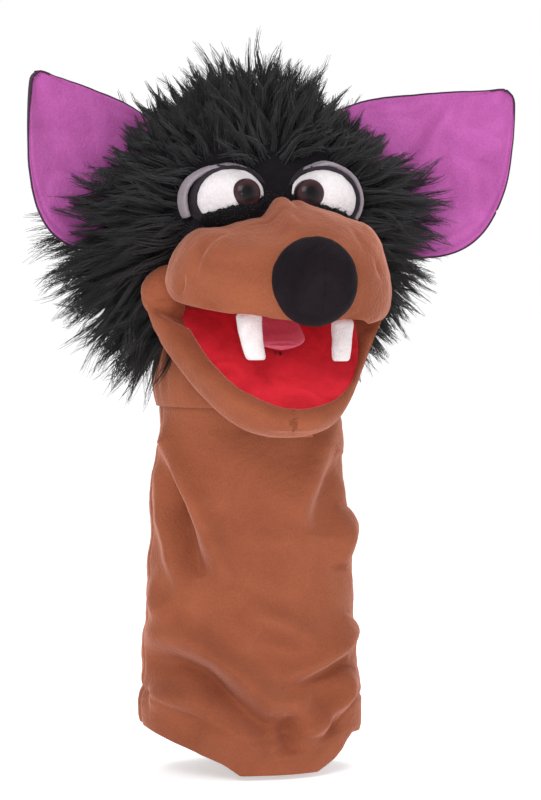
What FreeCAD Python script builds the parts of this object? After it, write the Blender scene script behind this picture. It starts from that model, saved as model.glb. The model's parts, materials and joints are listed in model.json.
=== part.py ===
import FreeCAD, Part
import os
from math import radians, sin, cos
from FreeCAD import Vector, Matrix, Placement, Rotation

os.makedirs("parts", exist_ok=True)

# Hand puppet with a moving mouth. Millimetres, +Z up, face towards -Y, +X on the viewer's right.
# The origin is the centre of the arm opening in the plane of the sleeve's hem.

# ---- driving dimensions ----
CLOTH = 3.0             # thickness of the plush with its backing
LINING = 2.0            # thickness of the smooth lining
BOARD = 2.0             # thickness of the stiff mouth boards
GAP = 0.4               # clearance between pieces that move past each other
SEAT = 0.3              # clearance between soft pieces of one body

NECK_Z = 262.0          # height of the neck, where the wrist bends
NECK_CLEAR = 65.0       # nothing of the head comes nearer than this to the neck's centre
HINGE_Y = -45.0         # fold of the mouth at the back
HINGE_Z = 318.0
PALATE_TILT = 10.0      # the upper mouth plate slopes down to the front by this angle
JAW_TILT = 42.0         # the same for the open lower jaw
MOUTH_DEPTH = 7.0       # the linings lie this far behind the meeting plane of the lips
LIP_GAP = 0.5           # each lip stops this far from the meeting plane

SKULL_C = (0.0, 5.0, 365.0)
SKULL_R = (92.0, 78.0, 85.0)
FUR_C = (0.0, 8.0, 366.0)
FUR_R = (122.0, 96.0, 119.0)
FUR_HEM_Z = 258.0

MUZZLE_C = (0.0, -72.0, 324.0)
MUZZLE_R = (74.0, 72.0, 57.0)
NOSE_C = (0.0, -143.0, 329.0)
NOSE_R = (27.5, 25.0, 28.5)

EYE_X = 31.0
EYE_C = (-62.0, 386.0)
EYE_R = (24.0, 20.0, 21.0)
RIM_WIDTH = 4.0
RIM_FRONT_Y = -70.0
LID_WIDTH = 6.0
LID_FRONT_Y = -67.0
PUPIL_X = 22.0
PUPIL_Z = 389.0
PUPIL_R = 9.5

FANG_X = 31.0
FANG_S = 72.0           # distance of the fangs from the mouth's fold
FANG_R = (8.0, 6.0)
FANG_LENGTH = 26.0
TONGUE_LENGTH = 50.0
TONGUE_HALF = 18.5
TONGUE_THICK = 6.0

FINGER_HALF = 40.0
FINGER_HEIGHT = 20.5
FINGER_LENGTH = 72.0
THUMB_HALF = 14.0
THUMB_HEIGHT = 16.0
THUMB_START = 42.0
THUMB_END = 100.0

EAR_ROOT = (90.0, 2.0)  # X and Y of the line where an ear is sewn on
EAR_TURN = 24.0         # the ears flare forwards by this angle
EAR_SWING = 15.0        # and flap by this much each way
EAR_THICK = 10.0

# half width and half depth of the sleeve at each height
SLEEVE = [
    (0.0, 70.0, 52.0),
    (22.0, 75.0, 55.0),
    (46.0, 77.0, 57.0),
    (85.0, 74.0, 56.0),
    (146.0, 71.0, 54.0),
    (200.0, 66.0, 52.0),
    (232.0, 60.0, 48.0),
    (NECK_Z - 2.0, 54.0, 44.0),
]
HEM_DEPTH = 25.0

NECK = Vector(0, 0, NECK_Z)
BIG = 400.0


# ---- helpers ----
def save(shape, node):
    solids = shape.Solids
    result = solids[0] if len(solids) == 1 else Part.makeCompound(solids)
    result.exportStep("parts/" + node + ".step")


def ellipsoid(centre, radii, grow=0.0):
    ball = Part.makeSphere(1.0)
    stretch = Matrix()
    stretch.scale(radii[0] + grow, radii[1] + grow, radii[2] + grow)
    ball = ball.transformGeometry(stretch)
    ball.translate(Vector(*centre))
    return ball


def box(x0, x1, y0, y1, z0, z1):
    return Part.makeBox(x1 - x0, y1 - y0, z1 - z0, Vector(x0, y0, z0))


def mirrored(shape):
    return shape.mirror(Vector(0, 0, 0), Vector(1, 0, 0))


def mouth_frame(shape, tilt):
    """Turn a shape made with -Y forwards and +Z as the plate's normal into place at the mouth's fold."""
    placed = shape.copy()
    placed.Placement = Placement(Vector(0, HINGE_Y, HINGE_Z), Rotation(Vector(1, 0, 0), tilt))
    return placed


def mouth_point(x, s, t, tilt):
    a = radians(tilt)
    y = HINGE_Y - s * cos(a) - t * sin(a)
    z = HINGE_Z - s * sin(a) + t * cos(a)
    return Vector(x, y, z)


def plan(points, low, high):
    """Plate with a rounded outline: (half width, forward distance) points down to the tip."""
    right = [Vector(x, -s, low) for x, s in points]
    left = [Vector(-x, -s, low) for x, s in reversed(points[:-1])]
    curve = Part.BSplineCurve()
    curve.interpolate(right + left)
    back = Part.makeLine(left[-1], right[0])
    face = Part.Face(Part.Wire([curve.toShape(), back]))
    return face.extrude(Vector(0, 0, high - low))


def below_palate(t):
    """Everything on the lower side of the plane t above the upper meeting plane."""
    return mouth_frame(box(-BIG, BIG, -BIG, BIG, -BIG, t), PALATE_TILT)


# ---- sleeve: two plush panels and the turned hem ----
def sleeve_skin(inset):
    wires = []
    for height, half_x, half_y in SLEEVE:
        ring = Part.Ellipse(Vector(0, 0, height), half_x - inset, half_y - inset)
        wires.append(Part.Wire([ring.toShape()]))
    return Part.makeLoft(wires, True, False)


def make_sleeve():
    tube = sleeve_skin(0.0).cut(sleeve_skin(CLOTH))
    save(tube.common(box(-BIG, BIG, -BIG, 0, -BIG, BIG)), "sleeve_front_panel")
    save(tube.common(box(-BIG, BIG, 0, BIG, -BIG, BIG)), "sleeve_back_panel")
    facing = sleeve_skin(CLOTH + 0.05).cut(sleeve_skin(CLOTH + LINING))
    save(facing.common(box(-BIG, BIG, -BIG, BIG, LINING, HEM_DEPTH)), "sleeve_hem_facing")


# ---- neck: bands about one centre, open at the throat, that let the head turn, lean and nod ----
def neck_band(inner, outer, low, high):
    shell = Part.makeSphere(outer, NECK).cut(Part.makeSphere(inner, NECK))
    band = shell.common(box(-BIG, BIG, -BIG, BIG, NECK_Z + low, NECK_Z + high))
    throat = box(-46.0, 46.0, -BIG, 0, 0, BIG)
    return band.cut(throat)


def make_neck():
    save(neck_band(61.0, 63.0, 2.0, 40.0), "neck_skin")
    save(neck_band(57.5, 59.5, 9.0, 38.0), "neck_lining")


# ---- mouth outlines: (half width, distance from the fold) ----
JAW_OUTER = [
    (82.0, 1.5), (80.0, 20.0), (73.0, 42.0), (56.0, 74.0), (34.0, 101.0), (14.0, 116.0), (0.0, 120.0),
]
JAW_INNER = [(58.0, 1.5), (54.0, 40.0), (41.5, 77.0), (22.0, 98.0), (0.0, 105.0)]
PALATE_INNER = [(58.0, 1.5), (56.0, 40.0), (45.0, 75.0), (31.0, 88.0), (0.0, 93.0)]
PALATE_BOARD = [(56.0, 3.0), (54.0, 40.0), (43.0, 73.0), (29.0, 85.0), (0.0, 90.0)]
JAW_BOARD = [(56.0, 3.0), (52.0, 40.0), (39.5, 75.0), (20.0, 95.0), (0.0, 102.0)]

LINING_FACE = MOUTH_DEPTH + LINING
BOARD_FACE = LINING_FACE + BOARD
POCKET_WALL = 1.5


def make_palate():
    """Upper mouth plate and the pocket for four fingers above it."""
    lining = plan(PALATE_INNER, MOUTH_DEPTH, LINING_FACE)
    save(mouth_frame(lining, PALATE_TILT), "upper_mouth_lining")
    board = plan(PALATE_BOARD, LINING_FACE, BOARD_FACE)
    save(mouth_frame(board, PALATE_TILT), "upper_mouth_board")
    save(finger_pocket(0.0).cut(finger_space()), "finger_pocket")


def finger_space():
    roof = BOARD_FACE + POCKET_WALL + FINGER_HEIGHT
    space = box(-FINGER_HALF, FINGER_HALF, -FINGER_LENGTH, 30.0, BOARD_FACE + POCKET_WALL, roof)
    return mouth_frame(space, PALATE_TILT)


def finger_pocket(grow):
    wall = POCKET_WALL + grow
    roof = BOARD_FACE + FINGER_HEIGHT + POCKET_WALL + wall
    half = FINGER_HALF + wall
    outer = box(-half, half, -FINGER_LENGTH - wall, -2.0, BOARD_FACE, roof)
    return mouth_frame(outer, PALATE_TILT)


# ---- muzzle: two plush panels with a centre seam over stuffing ----
def make_muzzle():
    whole = ellipsoid(MUZZLE_C, MUZZLE_R)
    core = ellipsoid(MUZZLE_C, MUZZLE_R, -CLOTH)
    front = box(-BIG, BIG, -BIG, HINGE_Y - 1.5, -BIG, BIG)
    lip_plane = below_palate(LIP_GAP)
    rim_plane = below_palate(BOARD_FACE)
    mouth_hole = mouth_frame(plan(PALATE_INNER, -20.0, BOARD_FACE + 5.0), PALATE_TILT)
    shell = whole.cut(core)
    rim = core.common(rim_plane).cut(mouth_hole)
    cover = shell.fuse(rim).cut(lip_plane).common(front)
    cover = cover.cut(mouth_hole)
    save(cover.common(box(-BIG, 0, -BIG, BIG, -BIG, BIG)), "muzzle_left_panel")
    save(cover.common(box(0, BIG, -BIG, BIG, -BIG, BIG)), "muzzle_right_panel")
    filling = ellipsoid(MUZZLE_C, MUZZLE_R, -CLOTH - SEAT).cut(below_palate(BOARD_FACE + SEAT))
    filling = filling.common(front).cut(finger_pocket(SEAT))
    filling = filling.cut(ellipsoid(SKULL_C, SKULL_R, SEAT))
    save(filling, "muzzle_stuffing")
    outside = ellipsoid(MUZZLE_C, MUZZLE_R, SEAT)
    bulb = ellipsoid(NOSE_C, NOSE_R).cut(outside)
    inner = ellipsoid(NOSE_C, NOSE_R, -LINING)
    save(bulb.cut(inner), "nose_cover")
    save(ellipsoid(NOSE_C, NOSE_R, -LINING - 0.1).cut(outside), "nose_stuffing")


# ---- head: padding hollowed for the hand, and the long-pile fur around it ----
def jaw_room():
    """Space that the jaw sweeps: all that lies below the palate in front of the fold, and its knuckle."""
    half = 90.0
    front = box(-half, half, -BIG, 0.0, -BIG, BOARD_FACE + SEAT)
    room = mouth_frame(front, PALATE_TILT)
    knuckle = Part.makeCylinder(16.0, 2 * half, Vector(-half, HINGE_Y, HINGE_Z), Vector(1, 0, 0))
    return room.fuse(knuckle)


def neck_bell():
    """Room for the sleeve's neck while the head leans: a ball with a cone that opens downwards."""
    drop = 60.0
    cone = Part.makeCone(NECK_CLEAR + drop * 0.5, NECK_CLEAR, drop, Vector(0, 0, NECK_Z - drop))
    return Part.makeSphere(NECK_CLEAR, NECK).fuse(cone)


def ear_slot():
    """Wedge in which the right ear swings."""
    root_x, root_y = EAR_ROOT
    reach = 120.0
    corners = [(0.0, -8.0)]
    for angle in (-EAR_SWING - 6.0, EAR_SWING + 6.0):
        side = 1.0 if angle > 0 else -1.0
        corners.append((reach * cos(radians(angle)), reach * sin(radians(angle)) + side * 8.0))
    corners.append((0.0, 8.0))
    wire = Part.makePolygon([Vector(x, y, 0) for x, y in corners + corners[:1]])
    wedge = Part.Face(wire).extrude(Vector(0, 0, 160.0))
    wedge.rotate(Vector(0, 0, 0), Vector(0, 0, 1), -EAR_TURN)
    wedge.translate(Vector(root_x - 9.0, root_y, 336.0))
    return wedge


def make_head():
    skull = ellipsoid(SKULL_C, SKULL_R)
    hand = box(-42.0, 42.0, -42.0, 40.0, 250.0, 352.0)
    muzzle_space = ellipsoid(MUZZLE_C, MUZZLE_R, SEAT)
    muzzle_front = muzzle_space.common(box(-BIG, BIG, -BIG, HINGE_Y - 1.5 + SEAT, -BIG, BIG))
    padding = skull.cut(neck_bell()).cut(hand).cut(jaw_room()).cut(muzzle_front)
    padding = padding.cut(finger_pocket(SEAT)).cut(finger_space())
    slot = ear_slot()
    slots = slot.fuse(mirrored(slot))
    padding = padding.cut(slots)
    for side in (-1, 1):
        padding = padding.cut(eye_washer(side, SEAT))
    save(padding, "skull_padding")

    fur = ellipsoid(FUR_C, FUR_R).cut(ellipsoid(SKULL_C, SKULL_R, SEAT))
    above_hem = box(-BIG, BIG, -BIG, BIG, FUR_HEM_Z, BIG * 2)
    fur = fur.common(above_hem).cut(neck_bell()).cut(slots)
    face = box(-62.0, 62.0, -BIG, -30.0, 0.0, 409.0)
    fur = fur.cut(face).cut(box(-94.0, 94.0, -BIG, -36.0, 0.0, 350.0))
    fur = fur.cut(muzzle_space).cut(jaw_room())
    for side in (-1, 1):
        fur = fur.cut(eye_ball(side, LID_WIDTH + RIM_WIDTH + SEAT))
    save(fur, "head_fur")


# ---- eyes ----
def eye_ball(side, grow):
    return ellipsoid((side * EYE_X, EYE_C[0], EYE_C[1]), EYE_R, grow)


def pupil_blank(side, radius, y0, y1):
    start = Vector(side * PUPIL_X, y0, PUPIL_Z)
    return Part.makeCylinder(radius, y1 - y0, start, Vector(0, 1, 0))


def eye_washer(side, grow=0.0):
    return pupil_blank(side, PUPIL_R + grow, -54.0 - grow, -51.0 + grow)


def make_eyes():
    behind = ellipsoid(SKULL_C, SKULL_R, SEAT).fuse(ellipsoid(MUZZLE_C, MUZZLE_R, SEAT))
    for side, name in ((-1, "left"), (1, "right")):
        own_half = box(0.4, BIG, -BIG, BIG, 0, BIG * 2)
        if side < 0:
            own_half = mirrored(own_half)
        stem = pupil_blank(side, PUPIL_R + 0.1, -90.0, -50.0)
        white = eye_ball(side, 0.0).cut(behind).cut(stem).common(own_half)
        save(white, "eye_white_" + name)
        rim = eye_ball(side, RIM_WIDTH).cut(eye_ball(side, 0.2)).cut(behind).common(own_half)
        save(rim.common(box(-BIG, BIG, RIM_FRONT_Y, BIG, 0, BIG * 2)), "eye_outline_" + name)
        lid = eye_ball(side, LID_WIDTH + RIM_WIDTH).cut(eye_ball(side, RIM_WIDTH + 0.2))
        lid = lid.cut(behind).common(own_half)
        save(lid.common(box(-BIG, BIG, LID_FRONT_Y, BIG, EYE_C[1] - 6.0, BIG * 2)), "eyelid_" + name)
        dome = Part.makeSphere(15.0, Vector(side * PUPIL_X, -71.0, PUPIL_Z))
        pupil = dome.common(pupil_blank(side, PUPIL_R, -90.0, -66.5)).cut(behind)
        save(pupil, "pupil_" + name)
        save(eye_washer(side), "eye_washer_" + name)


# ---- fangs ----
def make_fangs():
    pivot = mouth_point(FANG_X, FANG_S, MOUTH_DEPTH - FANG_R[1] - GAP, PALATE_TILT)
    root = ellipsoid((0, 0, 0), (FANG_R[0], FANG_R[1], FANG_R[1]))
    section = Part.Wire([Part.Ellipse(Vector(0, 0, 0), *FANG_R).toShape()])
    tube = Part.Face(section).extrude(Vector(0, 0, -(FANG_LENGTH - FANG_R[1])))
    fang = root.fuse(tube)
    fang.translate(pivot)
    save(fang, "fang_right")
    save(mirrored(fang), "fang_left")


# ---- lower jaw ----
JAW_PROFILE = [(26.0, 0.0), (44.0, 10.0), (66.0, 19.5), (100.0, 19.5), (111.0, 12.0), (118.0, 0.0)]


def jaw_wedge(half, inset):
    """Side profile of the jaw under its board, as wide as asked."""
    top = -BOARD_FACE - SEAT
    points = []
    for s, depth in JAW_PROFILE:
        points.append(Vector(-half, -s, top - max(depth - inset, 0.0)))
    wire = Part.makePolygon(points + points[:1])
    return Part.Face(wire).extrude(Vector(2 * half, 0, 0))


def thumb_box(grow):
    top = -BOARD_FACE - SEAT
    return box(
        -THUMB_HALF - grow, THUMB_HALF + grow,
        -THUMB_END - grow, -THUMB_START,
        top - THUMB_HEIGHT - grow, top,
    )


def make_jaw():
    lip = plan(JAW_OUTER, -BOARD_FACE, -LIP_GAP).cut(plan(JAW_INNER, -30.0, 10.0))
    left = box(-BIG, 0, -BIG, BIG, -BIG, BIG)
    right = box(0, BIG, -BIG, BIG, -BIG, BIG)
    save(mouth_frame(lip.common(left), JAW_TILT), "jaw_lip_left")
    save(mouth_frame(lip.common(right), JAW_TILT), "jaw_lip_right")
    lining = plan(JAW_INNER, -LINING_FACE, -MOUTH_DEPTH)
    save(mouth_frame(lining, JAW_TILT), "lower_mouth_lining")
    board = plan(JAW_BOARD, -BOARD_FACE, -LINING_FACE)
    save(mouth_frame(board, JAW_TILT), "lower_mouth_board")

    outline = plan(JAW_OUTER, -60.0, 0.0)
    inside = plan([(x * 0.95, s * 0.97) for x, s in JAW_OUTER], -60.0, 0.0)
    wedge = jaw_wedge(90.0, 0.0).common(outline)
    core = jaw_wedge(90.0, LINING).common(inside)
    pocket = thumb_box(POCKET_WALL)
    mouth = box(-THUMB_HALF - 3.0, THUMB_HALF + 3.0, -THUMB_START - 2.0, 0.0, -60.0, -BOARD_FACE + 1.0)
    skin = wedge.cut(core).cut(pocket).cut(mouth)
    save(mouth_frame(skin, JAW_TILT), "jaw_skin")
    filling = core.cut(thumb_box(POCKET_WALL + SEAT)).cut(mouth)
    save(mouth_frame(filling, JAW_TILT), "jaw_stuffing")
    save(mouth_frame(pocket.cut(thumb_box(0.0)), JAW_TILT), "thumb_pocket")

    narrow = TONGUE_HALF * 0.8
    tongue_plan = [(narrow, 4.0), (TONGUE_HALF, 24.0), (narrow, 42.0), (0.0, TONGUE_LENGTH)]
    low = -MOUTH_DEPTH + GAP
    tongue = plan(tongue_plan, low, low + TONGUE_THICK)
    save(mouth_frame(tongue, JAW_TILT), "tongue")


# ---- ears: front velour, padding and back, stacked through the thickness ----
EAR_LOWER = [(2.0, 0.0), (38.0, 2.0), (64.0, 10.0), (80.0, 26.0), (88.0, 54.0), (88.0, 84.0), (79.0, 121.0)]
EAR_UPPER = [(79.0, 121.0), (34.0, 116.0), (2.0, 104.0)]
EAR_FOOT_Z = 350.0


def ear_layer(low, high):
    """One layer of the right ear: a leaf in the plane of local X and Z, low..high across it."""
    edges = []
    for outline in (EAR_LOWER, EAR_UPPER):
        curve = Part.BSplineCurve()
        curve.interpolate([Vector(x, low, z) for x, z in outline])
        edges.append(curve.toShape())
    foot = Vector(EAR_LOWER[0][0], low, EAR_LOWER[0][1])
    head = Vector(EAR_UPPER[-1][0], low, EAR_UPPER[-1][1])
    edges.append(Part.makeLine(head, foot))
    face = Part.Face(Part.Wire(edges))
    layer = face.extrude(Vector(0, high - low, 0))
    layer.rotate(Vector(0, 0, 0), Vector(0, 0, 1), -EAR_TURN)
    layer.translate(Vector(EAR_ROOT[0], EAR_ROOT[1], EAR_FOOT_Z))
    return layer


def make_ears():
    half = EAR_THICK / 2
    layers = (
        ("front", -half, -half + LINING),
        ("padding", -half + LINING, half - LINING),
        ("back", half - LINING, half),
    )
    for layer, low, high in layers:
        ear = ear_layer(low, high)
        save(ear, "ear_right_" + layer)
        save(mirrored(ear), "ear_left_" + layer)


make_sleeve()
make_neck()
make_palate()
make_muzzle()
make_head()
make_eyes()
make_fangs()
make_jaw()
make_ears()
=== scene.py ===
import bpy
import json
import math
import numpy as np
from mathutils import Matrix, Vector
from mathutils.bvhtree import BVHTree


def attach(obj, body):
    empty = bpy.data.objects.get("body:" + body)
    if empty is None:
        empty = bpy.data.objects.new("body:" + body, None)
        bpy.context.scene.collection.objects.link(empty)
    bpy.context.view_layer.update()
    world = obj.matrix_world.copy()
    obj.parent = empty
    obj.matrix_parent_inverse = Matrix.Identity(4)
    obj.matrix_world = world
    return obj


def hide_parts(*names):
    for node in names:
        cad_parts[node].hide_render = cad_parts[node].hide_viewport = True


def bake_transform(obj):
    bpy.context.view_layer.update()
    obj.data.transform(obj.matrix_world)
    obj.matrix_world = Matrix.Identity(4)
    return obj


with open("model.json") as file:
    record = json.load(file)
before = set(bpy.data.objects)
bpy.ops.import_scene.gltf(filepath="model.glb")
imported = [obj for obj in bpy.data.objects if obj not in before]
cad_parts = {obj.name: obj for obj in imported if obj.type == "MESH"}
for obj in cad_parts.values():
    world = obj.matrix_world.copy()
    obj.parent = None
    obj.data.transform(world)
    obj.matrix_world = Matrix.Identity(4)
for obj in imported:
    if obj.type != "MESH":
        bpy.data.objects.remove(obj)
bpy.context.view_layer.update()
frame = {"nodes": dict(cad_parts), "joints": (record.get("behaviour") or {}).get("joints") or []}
MM = 0.001

# ---- places taken from the frame, in metres ----
JOINTS = {joint["name"]: joint for joint in frame["joints"]}
NECK = Vector(JOINTS["head_nod"]["pos_m"])
FOLD = Vector(JOINTS["jaw_open"]["pos_m"])
PALATE_TILT = math.radians(10.0)
JAW_TILT = math.radians(42.0)
MOUTH_DEPTH = 7.0 * MM
MOUTH_MIDDLE = 45.0     # distance of the mouth plates' polar centre from the fold, in millimetres
LINING_LEVEL = -8.6     # floor of the jaw's hollow below the meeting plane, in millimetres
CHIN_SEAM = -4.0 * MM   # side of the chin's seam

SKULL_C = np.array([0.0, 5.0, 365.0]) * MM
SKULL_R = np.array([92.0, 78.0, 85.0]) * MM
MUZZLE_C = np.array([0.0, -72.0, 324.0]) * MM
MUZZLE_R = np.array([74.0, 72.0, 57.0]) * MM


# ---- mesh helpers ----
def smooth(edge0, edge1, x):
    t = np.clip((np.asarray(x, dtype=float) - edge0) / (edge1 - edge0), 0.0, 1.0)
    return t * t * (3.0 - 2.0 * t)


def new_object(name, verts, faces, material, body, uvs=None, shade=True):
    mesh = bpy.data.meshes.new(name)
    mesh.from_pydata([tuple(v) for v in verts], [], faces)
    mesh.validate()
    if shade:
        mesh.polygons.foreach_set("use_smooth", [True] * len(mesh.polygons))
    if uvs is not None:
        layer = mesh.uv_layers.new(name="UVMap")
        loop_verts = np.empty(len(mesh.loops), dtype=np.int64)
        mesh.loops.foreach_get("vertex_index", loop_verts)
        layer.data.foreach_set("uv", np.asarray(uvs, dtype=float)[loop_verts].ravel())
    mesh.materials.append(material)
    obj = bpy.data.objects.new(name, mesh)
    bpy.context.scene.collection.objects.link(obj)
    if body:
        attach(obj, body)
    return obj


def grid_faces(rows, cols, wrap=True, flip=False):
    faces = []
    last = cols if wrap else cols - 1
    for i in range(rows - 1):
        for j in range(last):
            k = (j + 1) % cols
            quad = (i * cols + j, i * cols + k, (i + 1) * cols + k, (i + 1) * cols + j)
            faces.append(quad[::-1] if flip else quad)
    return faces


def solidify(obj, thickness, offset=-1.0):
    """Give a cloth its thickness, and leave the thick shape as the object's own mesh."""
    mod = obj.modifiers.new("cloth", "SOLIDIFY")
    mod.thickness = thickness
    mod.offset = offset
    bpy.context.view_layer.update()
    graph = bpy.context.evaluated_depsgraph_get()
    mesh = bpy.data.meshes.new_from_object(obj.evaluated_get(graph))
    obj.modifiers.clear()
    obj.data = mesh


def ball_points(rows, cols, centre, radii, start, span, forwards=False, power=1.0):
    """Rows of points on an ellipsoid, from start half turns off its pole over span half turns.

    The pole points up, or forwards, and a power below 1 makes the form fuller."""
    a = math.pi * (start + span * np.arange(rows) / (rows - 1))[:, None]
    b = 2.0 * math.pi * np.arange(cols)[None, :] / cols
    first = np.sin(a) * np.cos(b)
    second = np.sin(a) * np.sin(b)
    along = np.cos(a) + 0.0 * b
    parts = (second, -along, first) if forwards else (first, second, along)
    d = np.stack(parts, axis=-1).reshape(-1, 3)
    return centre + np.sign(d) * np.abs(d) ** np.array(power) * radii


def wobble(points, scale, seed):
    """Smooth repeatable noise in -1..1 for an array of points."""
    rng = np.random.default_rng(seed)
    total = np.zeros(len(points))
    for octave in range(3):
        for _ in range(4):
            direction = rng.normal(size=3)
            direction /= np.linalg.norm(direction)
            phase = rng.uniform(0.0, 2.0 * math.pi)
            frequency = (2.0 ** octave) / scale * rng.uniform(0.7, 1.3)
            total += np.sin(points @ direction * frequency * 2.0 * math.pi + phase) / (2.0 ** octave)
    return total / 6.0


def segment_distance(points, start, end):
    line = end - start
    along = np.clip(((points - start) @ line) / (line @ line), 0.0, 1.0)
    nearest = start + along[:, None] * line
    return np.linalg.norm(points - nearest, axis=1), along


def crease(points, normals, path, width, depth):
    """Push points in along a line of stitches or a fold, deepest in its middle."""
    amount = np.zeros(len(points))
    count = len(path) - 1
    for i in range(count):
        gap, along = segment_distance(points, np.array(path[i]), np.array(path[i + 1]))
        place = (i + along) / count
        fade = np.sin(np.clip(place, 0.06, 0.94) * math.pi) ** 0.5
        groove = 0.6 * np.exp(-((gap / width) ** 2)) + 0.4 * np.exp(-((gap / (0.38 * width)) ** 2))
        amount = np.maximum(amount, groove * fade)
    return points - normals * (amount * depth)[:, None]


def mouth_point(x, s, t, tilt):
    """Point given by its side, its distance from the mouth's fold and its height over the meeting plane."""
    y = FOLD.y - s * math.cos(tilt) - t * math.sin(tilt)
    z = FOLD.z - s * math.sin(tilt) + t * math.cos(tilt)
    return (x, y, z)


# ---- materials ----
def node_material(name):
    material = bpy.data.materials.new(name)
    material.use_nodes = True
    tree = material.node_tree
    return material, tree.nodes, tree.links, tree.nodes["Principled BSDF"]


def set_inputs(node, **values):
    """Sets a node's inputs, an underscore standing for a space in their names."""
    for name, value in values.items():
        node.inputs[name.replace("_", " ")].default_value = value
    return node


def add_ramp(nodes, stops):
    """Colour ramp from (position, colour) stops."""
    ramp = nodes.new("ShaderNodeValToRGB")
    elements = ramp.color_ramp.elements
    for i, (position, colour) in enumerate(stops):
        stop = elements[i] if i < 2 else elements.new(position)
        stop.position = position
        stop.color = (*colour, 1.0)
    return ramp


def add_relief(nodes, links, height, shader, strength, distance):
    relief = set_inputs(nodes.new("ShaderNodeBump"), Strength=strength, Distance=distance)
    links.new(height, relief.inputs["Height"])
    links.new(relief.outputs["Normal"], shader.inputs["Normal"])


def pile_material(name, dark, light, sheen=0.6, patch=28.0, grain=900.0, rough=0.85, bump=0.5, gloss=0.25):
    """Short pile cloth: brushed patches, fine tufts and a soft sheen."""
    material, nodes, links, shader = node_material(name)
    coord = nodes.new("ShaderNodeTexCoord")
    patches = set_inputs(nodes.new("ShaderNodeTexNoise"), Scale=patch, Detail=3.0, Distortion=1.2)
    tufts = set_inputs(nodes.new("ShaderNodeTexNoise"), Scale=grain, Detail=2.5, Roughness=0.7)
    clumps = set_inputs(nodes.new("ShaderNodeTexVoronoi"), Scale=grain * 0.45)
    for texture in (patches, tufts, clumps):
        links.new(coord.outputs["Object"], texture.inputs["Vector"])
    mix = nodes.new("ShaderNodeMix")
    mix.data_type = "FLOAT"
    mix.inputs["Factor"].default_value = 0.42
    links.new(patches.outputs["Fac"], mix.inputs["A"])
    links.new(tufts.outputs["Fac"], mix.inputs["B"])
    ramp = add_ramp(nodes, ((0.36, dark), (0.66, light)))
    links.new(mix.outputs["Result"], ramp.inputs["Fac"])
    links.new(ramp.outputs["Color"], shader.inputs["Base Color"])
    height = nodes.new("ShaderNodeMath")
    height.operation = "SUBTRACT"
    links.new(tufts.outputs["Fac"], height.inputs[0])
    links.new(clumps.outputs["Distance"], height.inputs[1])
    add_relief(nodes, links, height.outputs["Value"], shader, bump, 0.6 * MM)
    tint = [min(1.0, c * 1.5 + 0.22) for c in light]
    set_inputs(shader, Roughness=rough, Specular_IOR_Level=gloss, Sheen_Weight=sheen, Sheen_Roughness=0.36,
               Sheen_Tint=(*tint, 1.0))
    return material


def felt_material(name, dark, light, bump=0.45):
    """Pressed felt: matted fibres with faint cloudy colour."""
    return pile_material(name, dark, light, sheen=0.25, patch=45.0, grain=1400.0, rough=0.92, bump=bump)


def fur_material(name, base, light):
    """Long pile: streaks along each lock and a soft gloss."""
    material, nodes, links, shader = node_material(name)
    coord = nodes.new("ShaderNodeTexCoord")
    stretch = set_inputs(nodes.new("ShaderNodeMapping"), Scale=(34.0, 1.6, 1.0))
    links.new(coord.outputs["UV"], stretch.inputs["Vector"])
    streaks = set_inputs(nodes.new("ShaderNodeTexNoise"), Scale=1.0, Detail=4.0, Roughness=0.65)
    links.new(stretch.outputs["Vector"], streaks.inputs["Vector"])
    ramp = add_ramp(nodes, ((0.35, base), (0.75, light)))
    links.new(streaks.outputs["Fac"], ramp.inputs["Fac"])
    links.new(ramp.outputs["Color"], shader.inputs["Base Color"])
    add_relief(nodes, links, streaks.outputs["Fac"], shader, 0.7, 0.8 * MM)
    set_inputs(shader, Roughness=0.48, Specular_IOR_Level=0.45, Sheen_Weight=0.12, Sheen_Roughness=0.4)
    return material


def gloss_material(name, ring_centre):
    """Moulded eye: near-black centre, a brown-purple ring and a hard clear surface."""
    material, nodes, links, shader = node_material(name)
    coord = nodes.new("ShaderNodeTexCoord")
    offset = nodes.new("ShaderNodeVectorMath")
    offset.operation = "DISTANCE"
    offset.inputs[1].default_value = ring_centre
    links.new(coord.outputs["Object"], offset.inputs[0])
    ramp = add_ramp(nodes, (
        (5.5 * MM, (0.006, 0.004, 0.005)),
        (7.6 * MM, (0.055, 0.022, 0.026)),
        (9.4 * MM, (0.012, 0.006, 0.008)),
    ))
    links.new(offset.outputs["Value"], ramp.inputs["Fac"])
    grain = set_inputs(nodes.new("ShaderNodeTexNoise"), Scale=600.0)
    links.new(coord.outputs["Object"], grain.inputs["Vector"])
    add_relief(nodes, links, grain.outputs["Fac"], shader, 0.04, 0.2 * MM)
    links.new(ramp.outputs["Color"], shader.inputs["Base Color"])
    set_inputs(shader, Roughness=0.30, Specular_IOR_Level=0.10, Coat_Weight=0.12, Coat_Roughness=0.03)
    return material


BROWN = pile_material("brown_plush", (0.215, 0.056, 0.024), (0.315, 0.090, 0.041), sheen=0.9, patch=16.0)
BROWN_LIP = pile_material("brown_lip", (0.205, 0.052, 0.022), (0.300, 0.082, 0.036), sheen=0.8, patch=18.0)
BLACK_PILE = pile_material("black_pile", (0.0045, 0.004, 0.005), (0.012, 0.010, 0.013), sheen=0.05,
                           grain=600.0, gloss=0.08)
NOSE_PILE = pile_material("nose_pile", (0.007, 0.005, 0.007), (0.015, 0.010, 0.013), sheen=0.06, grain=1100.0,
                          gloss=0.06)
EAR_PILE = pile_material("ear_pile", (0.350, 0.068, 0.270), (0.500, 0.115, 0.400), sheen=0.45)
EAR_BACK = pile_material("ear_back_pile", (0.030, 0.012, 0.028), (0.065, 0.026, 0.060), sheen=0.3)
WHITE_PILE = pile_material("white_pile", (0.60, 0.555, 0.575), (0.78, 0.73, 0.75), sheen=0.3, grain=750.0,
                           bump=0.7)
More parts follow.
